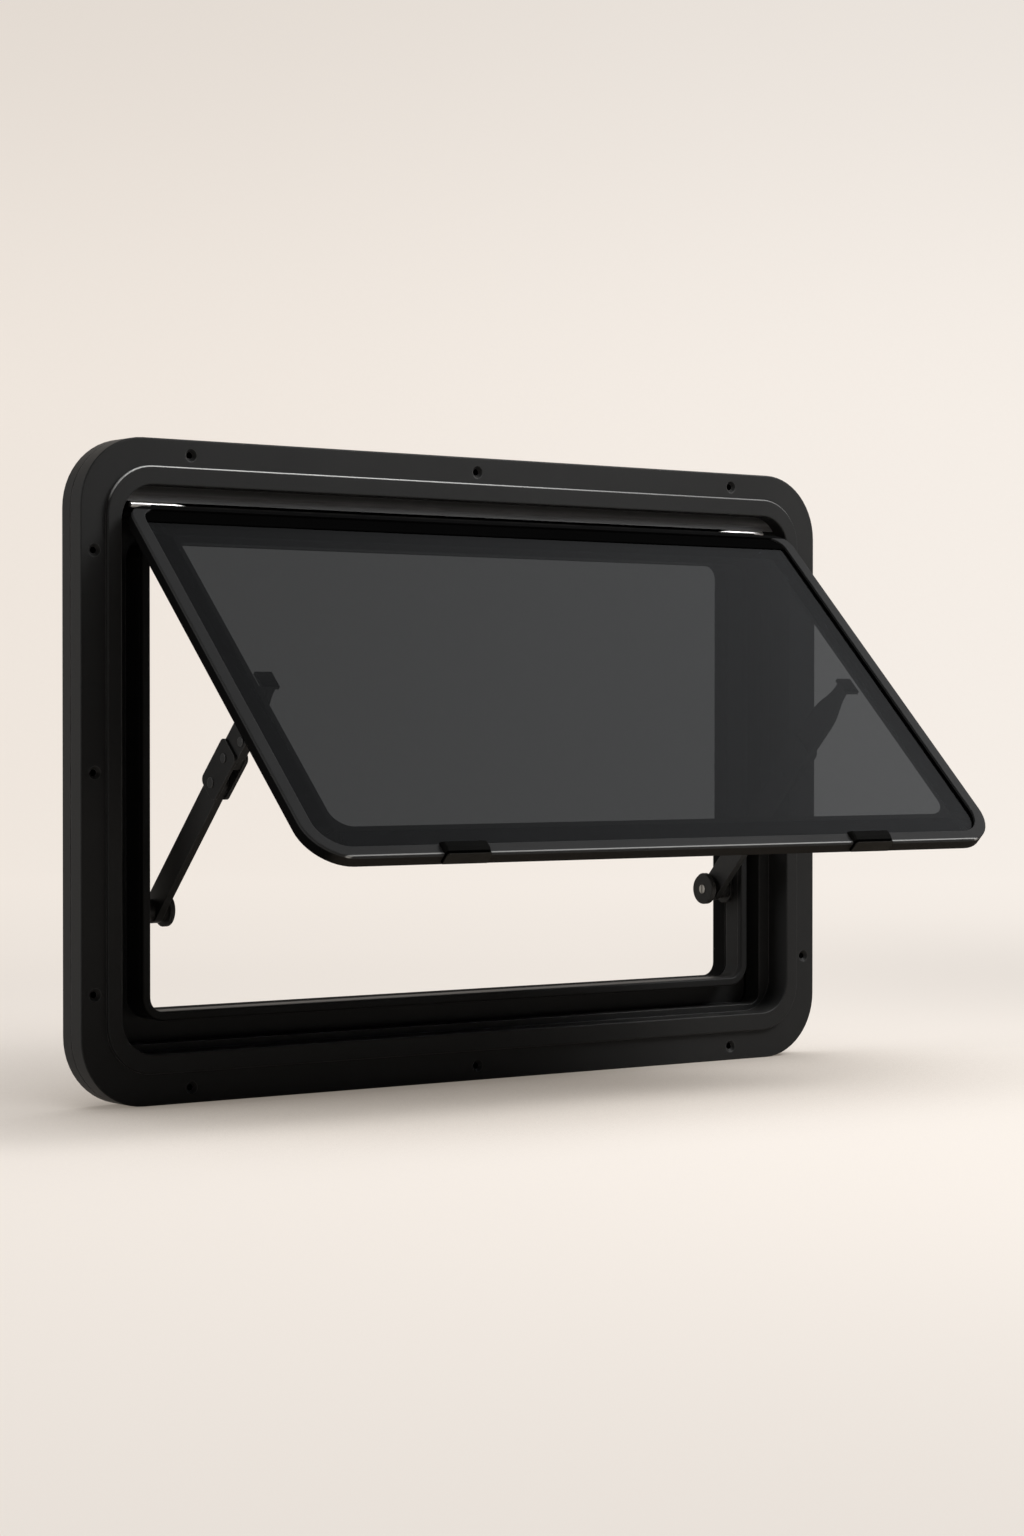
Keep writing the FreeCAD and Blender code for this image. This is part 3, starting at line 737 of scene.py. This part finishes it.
@dataclass(frozen=True)
class StripCoat:
    """Satin black on the header strip with drawn lines along it, painted darker towards its top as shade
    under the bead and lighter towards its lower edge as light.
    """

    low: float
    high: float
    name: str = "strip_coat"
    colour: Colour = (0.085, 0.085, 0.085)
    upper: Colour = (0.012, 0.012, 0.012)
    line_run: float = 9.0
    line_scale: float = 900.0
    line_height: float = 0.00003
    roughness: float = 0.34
    specular: float = 0.3

    def build(self, effects: Effects) -> bpy.types.Material:
        """Make the material.

        Args:
            effects: The shared shader groups.

        Returns:
            The material.
        """
        material, desk = Desk.of_material(self.name)
        shader = desk.add("ShaderNodeBsdfPrincipled")
        x, _, z = desk.axes(desk.place())
        run, climb = desk.maths("MULTIPLY", x, self.line_run), desk.maths("MULTIPLY", z, self.line_scale)
        stretched = desk.vector(run, 0.0, climb)
        lines = desk.group(effects.brushed, Place=stretched).outputs["Line"]
        share = desk.ramp(lines, 0.3, 0.72)
        tone = desk.vary(share, self.colour, 0.8, 1.3)
        height = self.high - self.low
        # Painted shade darkens the strip towards its top, under the bead, and its lower part is painted
        # lighter as light.
        upper = desk.ramp(z, self.low + 0.35 * height, self.high - 0.0012)
        desk.join(desk.blend(upper, tone, self.upper), shader.inputs["Base Color"])
        desk.join(desk.gloss(lines, 0.2, self.roughness), shader.inputs["Roughness"])
        desk.bumped(lines, self.line_height, shader)
        shader.inputs["Specular IOR Level"].default_value = self.specular
        desk.close(shader)
        return material


@dataclass(frozen=True)
class TintedGlass:
    """Dark acrylic, painted a little lighter towards its lower right as light, with black print on its
    rear face.

    The print leaves a clear field with rounded lower corners. Its sizes run from the
    middle of the sash along it and from the hinge's axis down it.
    """

    name: str = "tinted_glass"
    tint: Colour = (0.0485, 0.0532, 0.0578)
    painted_light_tint: Colour = (0.0735, 0.08, 0.0868)
    printed: Colour = (0.0, 0.0, 0.0)
    clear_half: float = 0.2626
    clear_low: float = 0.3186
    clear_corner: float = 0.014
    print_blur: float = 0.0002
    print_depth: float = 0.0047
    depth_blur: float = 0.0005
    slant: float = 0.52
    ramp_from: float = 0.24
    ramp_to: float = 0.31
    roughness: float = 0.012
    refraction: float = 1.49
    wave_height: float = 0.00006

    def build(self, effects: Effects) -> bpy.types.Material:
        """Make the material.

        Args:
            effects: The shared shader groups.

        Returns:
            The material.
        """
        material, desk = Desk.of_material(self.name)
        shader = desk.add("ShaderNodeBsdfPrincipled")
        place = desk.place()
        lie = desk.group(effects.sash_place, Place=place)
        along, down, depth = (lie.outputs[name] for name in ("Along", "Down", "Depth"))
        # The glass is painted lighter towards its lower right as light.
        reach = desk.maths("MULTIPLY_ADD", down, self.slant, along)
        share = desk.ramp(reach, self.ramp_from, self.ramp_to)
        tint = desk.blend(share, self.tint, self.painted_light_tint)
        square_half = self.clear_half - self.clear_corner
        square_low = self.clear_low - self.clear_corner
        aside = desk.maths("SUBTRACT", desk.maths("ABSOLUTE", along), square_half)
        below = desk.maths("SUBTRACT", down, square_low)
        past = desk.length(desk.maths("MAXIMUM", aside, 0.0), desk.maths("MAXIMUM", below, 0.0))
        band = desk.ramp(past, self.clear_corner - self.print_blur, self.clear_corner + self.print_blur)
        rear = desk.ramp(depth, self.print_depth - self.depth_blur, self.print_depth + self.depth_blur)
        band = desk.maths("MULTIPLY", band, rear)
        desk.join(desk.blend(band, tint, self.printed), shader.inputs["Base Color"])
        film = desk.noise(place, scale=26.0, detail=5.0, rough=0.6)
        smear = desk.maths("MULTIPLY_ADD", film, 0.03, self.roughness - 0.01)
        desk.join(smear, shader.inputs["Roughness"])
        wave = desk.noise(place, scale=7.0, detail=0.0)
        desk.bumped(wave, self.wave_height, shader)
        shader.inputs["IOR"].default_value = self.refraction
        shader.inputs["Transmission Weight"].default_value = 1.0
        desk.close(shader)
        return material


@dataclass(frozen=True)
class BorderPrint:
    """Black print behind the glass, painted greyer along its top run under the top gasket as reflection.
    """

    name: str = "border_print"
    colour: Colour = (0.0016, 0.0016, 0.0018)
    paler_run: Colour = (0.03, 0.031, 0.032)
    blur: float = 0.0004
    roughness: float = 0.5
    specular: float = 0.2
    grain_height: float = 0.00001

    def build(self, effects: Effects) -> bpy.types.Material:
        """Make the material.

        Args:
            effects: The shared shader groups.

        Returns:
            The material.
        """
        material, desk = Desk.of_material(self.name)
        shader = desk.add("ShaderNodeBsdfPrincipled")
        place = desk.place()
        lie = desk.group(effects.sash_place, Place=place)
        band_to = SashPlane.band_to
        # The top run is painted greyer as reflection.
        run = desk.ramp(lie.outputs["Down"], band_to + self.blur, band_to - self.blur)
        mottle = desk.group(effects.mottle, Place=place, Scale=30.0).outputs["Value"]
        paler_run = desk.vary(mottle, self.paler_run, 0.85, 1.15)
        desk.join(desk.blend(run, self.colour, paler_run), shader.inputs["Base Color"])
        desk.join(desk.gloss(mottle, 0.2, self.roughness), shader.inputs["Roughness"])
        grain = desk.group(effects.coat, Place=place, Scale=2500.0).outputs["Height"]
        desk.bumped(grain, self.grain_height, shader)
        shader.inputs["Specular IOR Level"].default_value = self.specular
        desk.close(shader)
        return material


@dataclass(frozen=True)
class Steel:
    """Bare stainless steel with fine drawn lines along X."""

    name: str
    colour: Colour
    roughness: float
    line_scale: float = 2600.0
    line_run: float = 25.0
    line_height: float = 0.000006

    def build(self, effects: Effects) -> bpy.types.Material:
        """Make the material.

        Args:
            effects: The shared shader groups.

        Returns:
            The material.
        """
        material, desk = Desk.of_material(self.name)
        shader = desk.add("ShaderNodeBsdfPrincipled")
        x, y, z = desk.axes(desk.place())
        fine = [desk.maths("MULTIPLY", value, self.line_scale) for value in (y, z)]
        stretched = desk.vector(desk.maths("MULTIPLY", x, self.line_run), fine[0], fine[1])
        lines = desk.group(effects.brushed, Place=stretched).outputs["Line"]
        tone = desk.vary(lines, self.colour, 0.86, 1.0)
        desk.join(tone, shader.inputs["Base Color"])
        desk.join(desk.gloss(lines, 0.16, self.roughness), shader.inputs["Roughness"])
        desk.bumped(lines, self.line_height, shader)
        shader.inputs["Metallic"].default_value = 1.0
        desk.close(shader)
        return material


@dataclass(frozen=True)
class TurnedSteel:
    """Dull steel of the knobs' screws, turned in fine rings about the stud."""

    name: str = "screw_steel"
    colour: Colour = (0.3, 0.29, 0.265)
    centre_y: float = 0.008
    centre_z: float = 0.114
    rings: float = 9000.0
    ring_height: float = 0.00002
    roughness: float = 0.35

    def build(self, effects: Effects) -> bpy.types.Material:
        """Make the material.

        Args:
            effects: The shared shader groups.

        Returns:
            The material.
        """
        material, desk = Desk.of_material(self.name)
        shader = desk.add("ShaderNodeBsdfPrincipled")
        place = desk.place()
        _, y, z = desk.axes(place)
        dy = desk.maths("SUBTRACT", y, self.centre_y)
        dz = desk.maths("SUBTRACT", z, self.centre_z)
        wave = desk.maths("SINE", desk.maths("MULTIPLY", desk.length(dy, dz), self.rings))
        ring = desk.maths("MULTIPLY_ADD", wave, 0.5, 0.5)
        grime = desk.group(effects.mottle, Place=place, Scale=420.0).outputs["Value"]
        desk.join(desk.vary(grime, self.colour, 0.55, 1.2), shader.inputs["Base Color"])
        desk.join(desk.gloss(grime, 0.3, self.roughness), shader.inputs["Roughness"])
        desk.bumped(ring, self.ring_height, shader)
        shader.inputs["Metallic"].default_value = 1.0
        desk.close(shader)
        return material


class Palette:
    """Every finish on the window, made once."""

    def __init__(self) -> None:
        """Build the shared effects and the finishes."""
        effects = Effects()
        self.frame_coat = FrameCoat().build(effects)
        self.sash_coat = SashCoat().build(effects)
        self.clip_coat = ClipCoat().build(effects)
        strip_low, strip_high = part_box("header_strip")
        self.strip_coat = StripCoat(strip_low[2], strip_high[2]).build(effects)
        self.glass = TintedGlass().build(effects)
        self.border_print = BorderPrint().build(effects)
        self.pin_steel = Steel("pin_steel", (0.66, 0.65, 0.63), 0.4).build(effects)
        self.screw_steel = TurnedSteel().build(effects)
        self.stay_coat = PlainCoat(
            "stay_coat", (0.0085, 0.0083, 0.008), 0.44, specular=0.18, scuffs=0.5, dust=0.04, wear_and_highlight=0.35
        ).build(effects)
        self.fixing_black = PlainCoat(
            "fixing_black", (0.012, 0.012, 0.0115), 0.38, scuffs=0.4
        ).build(effects)
        self.hinge_black = PlainCoat(
            "hinge_black", (0.002, 0.002, 0.002), 0.55, specular=0.02, dust=0.02, wear_and_highlight=0.0
        ).build(effects)
        self.seal_rubber = PlainCoat(
            "seal_rubber", (0.003, 0.003, 0.003), 0.62, specular=0.15, grain_scale=2400.0, dust=0.03,
            wear_and_highlight=0.2,
        ).build(effects)
        self.gasket_rubber = PlainCoat(
            "gasket_rubber", (0.0012, 0.0012, 0.0012), 0.75, specular=0.0, grain_scale=2400.0, wear_and_highlight=0.0
        ).build(effects)
        self.knob_black = PlainCoat(
            "knob_black", (0.02, 0.0196, 0.0185), 0.45, specular=0.05, grain_scale=1900.0,
            scuffs=0.1, dust=0.02, wear_and_highlight=0.2,
        ).build(effects)
        self.inner_black = PlainCoat(
            "inner_black", (0.006, 0.006, 0.006), 0.5, specular=0.1, dust=0.04, wear_and_highlight=0.2
        ).build(effects)


class Window:
    """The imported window: its nodes and the finishes that they take."""

    def __init__(self, nodes: dict[str, bpy.types.Object], palette: Palette) -> None:
        """Take the nodes and the finishes.

        Args:
            nodes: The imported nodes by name.
            palette: The finishes.
        """
        self.nodes = nodes
        self.palette = palette

    def dress(self, name: str, material: bpy.types.Material) -> None:
        """Give a node one material all over.

        Args:
            name: The node's name.
            material: The finish.
        """
        mesh = self.nodes[name].data
        mesh.materials.clear()
        mesh.materials.append(material)
        LOG.info("dressed %s in %s", name, material.name)

    def dress_frame(self) -> None:
        """Dress what is fixed to the wall."""
        self.dress("outer_frame", self.palette.frame_coat)
        self.dress("frame_seal", self.palette.seal_rubber)
        self.dress("hinge_rail", self.palette.hinge_black)
        self.dress("hinge_pin", self.palette.hinge_black)
        self.dress("header_strip", self.palette.strip_coat)
        for side in Side:
            self.dress(f"{side.value}_end_stop", self.palette.pin_steel)

    def dress_sash(self) -> None:
        """Dress what swings on the hinge."""
        self.dress("sash_frame", self.palette.sash_coat)
        self.dress("glazing_gasket", self.palette.gasket_rubber)
        self.dress("glass_pane", self.palette.glass)
        self.dress("glass_border", self.palette.border_print)
        self.dress("glazing_bead", self.palette.inner_black)
        self.dress("hinge_leaf", self.palette.hinge_black)
        for side in Side:
            self.dress(f"{side.value}_clip", self.palette.clip_coat)

    def dress_stay(self, side: Side) -> None:
        """Dress one stay.

        Args:
            side: Which of the two.
        """
        for piece in ("stay_tongue", "stay_sleeve", "stay_bar", "stay_slider"):
            self.dress(f"{side.value}_{piece}", self.palette.stay_coat)
        for piece in ("sleeve_screws", "stay_rivet"):
            self.dress(f"{side.value}_{piece}", self.palette.fixing_black)
        self.dress(f"{side.value}_stay_knob", self.palette.knob_black)
        self.dress(f"{side.value}_knob_screw", self.palette.screw_steel)


@dataclass(frozen=True)
class Softbox:
    """One soft lamp."""

    name: str
    place: Place
    aim: Place
    size: tuple[float, float]
    power: float

    def hang(self) -> None:
        """Put the lamp into the scene."""
        data = bpy.data.lights.new(self.name, "AREA")
        data.shape = "RECTANGLE"
        data.size, data.size_y = self.size
        data.energy = self.power
        lamp = bpy.data.objects.new(self.name, data)
        lamp.location = self.place
        lamp.rotation_euler = (Vector(self.aim) - Vector(self.place)).to_track_quat("-Z", "Y").to_euler()
        bpy.context.scene.collection.objects.link(lamp)


@dataclass
class Studio:
    """Pale sweep, soft lamps and the camera."""

    floor_height: float = -0.016
    heading: float = -36.628
    front_reach: float = 7.0
    back_reach: float = 5.0
    half_width: float = 9.0
    wall_height: float = 7.0
    cove_radius: float = 1.6
    cove_steps: int = 16
    camera_place: Place = (-1.3730, -1.9137, 0.23766)
    camera_turn: Place = (89.319, 0.0, -36.628)
    lens_mm: float = 75.71
    sensor_mm: float = 36.0
    nearest: float = 0.05
    farthest: float = 60.0
    paper: Colour = (0.86, 0.8, 0.74)
    glow_left: Colour = (0.9, 0.826, 0.754)
    glow_right: Colour = (0.9, 0.84, 0.781)
    glow_shade: Colour = (0.9, 0.785, 0.67)
    glow_level: float = 0.92
    near_share: float = 0.72
    far_share: float = 0.93
    shadow_reach: float = 0.85
    shadow_power: float = 1.8
    deepest_shadow: float = 0.32
    sky_colour: Colour = (0.95, 0.97, 1.0)
    ambient: float = 0.12
    open_sky_level: float = 0.95
    side_slope: float = 0.6
    side_middle: float = 0.338
    side_least: float = 0.06
    side_most: float = 0.42
    behind_level: float = 0.6
    least_level: float = 0.03
    lamps: tuple[Softbox, ...] = (
        Softbox("right_key", (1.15, -1.0, 1.4), (0.0, 0.0, 0.25), (0.8, 0.7), 45.0),
        Softbox("overhead", (0.3, -0.65, 1.05), (0.0, -0.02, 0.42), (1.1, 0.3), 7.0),
        Softbox("left_fill", (-2.4, 0.5, 0.9), (-0.3, 0.0, 0.2), (1.2, 1.6), 40.0),
    )

    def build(self) -> None:
        """Make the whole studio."""
        self._camera()
        self._sweep()
        self._world()
        for lamp in self.lamps:
            lamp.hang()
        bpy.context.scene.view_settings.view_transform = "Standard"
        LOG.info("studio stands with %d lamps", len(self.lamps))

    def _camera(self) -> None:
        """Set the camera where the photograph was taken from."""
        data = bpy.data.cameras.new("camera")
        data.lens = self.lens_mm
        data.sensor_width = self.sensor_mm
        data.clip_start = self.nearest
        data.clip_end = self.farthest
        camera = bpy.data.objects.new("camera", data)
        camera.location = self.camera_place
        camera.rotation_euler = Euler([math.radians(a) for a in self.camera_turn])
        bpy.context.scene.collection.objects.link(camera)
        bpy.context.scene.camera = camera

    def _sweep(self) -> None:
        """Make the floor and backdrop as one bent sheet."""
        bpy.ops.object.select_all(action="DESELECT")
        bpy.ops.mesh.primitive_plane_add(size=1.0)
        sheet = bpy.context.object
        sheet.name = "studio_sweep"
        mesh = sheet.data
        mesh.clear_geometry()
        cove_from = self.back_reach - self.cove_radius
        section = [(-self.front_reach, 0.0), (cove_from, 0.0)]
        for step in range(1, self.cove_steps + 1):
            bend = math.radians(90.0 * step / self.cove_steps)
            rise = self.cove_radius * (1.0 - math.cos(bend))
            section.append((cove_from + self.cove_radius * math.sin(bend), rise))
        section.append((self.back_reach, self.wall_height))
        turn = Euler((0.0, 0.0, math.radians(self.heading))).to_matrix()
        points = []
        for run, rise in section:
            for side in (-self.half_width, self.half_width):
                points.append(turn @ Vector((side, run, rise + self.floor_height)))
        faces = [(2 * i, 2 * i + 1, 2 * i + 3, 2 * i + 2) for i in range(len(section) - 1)]
        mesh.from_pydata(points, [], faces)
        for face in mesh.polygons:
            face.use_smooth = True
        mesh.materials.append(self._sweep_paper())

    def _sweep_paper(self) -> bpy.types.Material:
        """Warm white paper that glows for the camera, in reflections and through the glass.

        The glow is dimmer high up and to the left, it has a painted shadow on the floor to the window's
        right, and it is shadowed near things. All other light meets plain paper.

        Returns:
            The material.
        """
        material, desk = Desk.of_material("studio_paper")
        paper = desk.add("ShaderNodeBsdfDiffuse")
        paper.inputs[0].default_value = (*self.paper, 1.0)
        x, y, z = desk.axes(desk.place())
        turn = math.radians(self.heading)
        # Metres to the right of the window's middle and behind it, as the camera sees it.
        across = desk.weigh(x, math.cos(turn), y, math.sin(turn))
        run = desk.weigh(x, -math.sin(turn), y, math.cos(turn))
        right = desk.ramp(across, -1.3, 1.3)
        # A painted shadow on the floor to the window's right.
        beside = desk.maths("MULTIPLY", desk.ramp(run, -0.9, -0.1), desk.ramp(run, 2.2, 0.5))
        beside = desk.maths("MULTIPLY", beside, desk.ramp(across, 0.1, 0.6))
        level = self.glow_level
        # What each region adds to the glow: right, far back, high up, and the painted shadow to the
        # window's right.
        changes = (
            (right, 0.07),
            (desk.ramp(run, 0.3, 3.2), 0.1),
            (desk.ramp(z, 0.9, 2.1), -0.13),
            (beside, -0.12),
        )
        for where, change in changes:
            level = desk.maths("MULTIPLY_ADD", where, change, level)
        shade = desk.add("ShaderNodeAmbientOcclusion", samples=12)
        shade.inputs["Distance"].default_value = self.shadow_reach
        open_sky = desk.maths("POWER", desk.ramp(shade.outputs["AO"], 0.12, 1.0), self.shadow_power)
        shadow = desk.maths("MULTIPLY_ADD", open_sky, 1.0 - self.deepest_shadow, self.deepest_shadow)
        level = desk.maths("MULTIPLY", level, shadow)
        glow = desk.add("ShaderNodeEmission")
        tint = desk.blend(right, self.glow_left, self.glow_right)
        desk.join(desk.blend(open_sky, self.glow_shade, tint), glow.inputs[0])
        desk.join(level, glow.inputs[1])
        path = desk.add("ShaderNodeLightPath")
        seen = desk.maths("MAXIMUM", path.outputs["Is Camera Ray"], path.outputs["Is Glossy Ray"])
        seen = desk.maths("MAXIMUM", seen, path.outputs["Is Transmission Ray"])
        mix = desk.add("ShaderNodeMixShader")
        share = desk.shift(desk.ramp(run, 0.2, 1.5), self.near_share, self.far_share)
        desk.join(desk.maths("MULTIPLY", seen, share), mix.inputs[0])
        desk.join(paper.outputs[0], mix.inputs[1])
        desk.join(glow.outputs[0], mix.inputs[2])
        desk.close(mix)
        return material

    def _world(self) -> None:
        """Light the object softly all round, with reflections brighter behind it and to its right."""
        world = bpy.data.worlds.new("studio_world")
        bpy.context.scene.world = world
        world.use_nodes = True
        desk = Desk(world.node_tree)
        desk.tree.nodes.clear()
        x, y, z = desk.axes(desk.add("ShaderNodeTexCoord").outputs["Generated"])
        rightward = desk.maths("SUBTRACT", x, z)
        slope = desk.maths("MULTIPLY_ADD", rightward, self.side_slope, self.side_middle)
        slope = desk.maths("MAXIMUM", slope, self.side_least)
        slope = desk.maths("MINIMUM", slope, self.side_most)
        side = desk.maths("MULTIPLY", slope, desk.ramp(y, -0.45, -0.05))
        behind = desk.maths("MULTIPLY", desk.ramp(y, 0.3, 0.85), self.behind_level)
        strength = desk.maths("ADD", desk.maths("MAXIMUM", side, behind), self.least_level)
        path = desk.add("ShaderNodeLightPath")
        strength = desk.shift(path.outputs["Is Glossy Ray"], self.ambient, strength)
        seen = desk.maths("MAXIMUM", path.outputs["Is Camera Ray"], path.outputs["Is Transmission Ray"])
        sky = desk.add("ShaderNodeBackground")
        desk.join(desk.blend(seen, self.sky_colour, self.glow_right), sky.inputs[0])
        desk.join(desk.shift(seen, strength, self.open_sky_level), sky.inputs[1])
        desk.join(sky.outputs[0], desk.add("ShaderNodeOutputWorld").inputs[0])


def main() -> None:
    """Dress the window and set up the studio."""
    logging.basicConfig(level=logging.INFO, format="%(name)s: %(message)s")
    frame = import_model()
    window = Window(frame["nodes"], Palette())
    window.dress_frame()
    window.dress_sash()
    for side in Side:
        window.dress_stay(side)
    Studio().build()


if __name__ == "__main__":
    main()
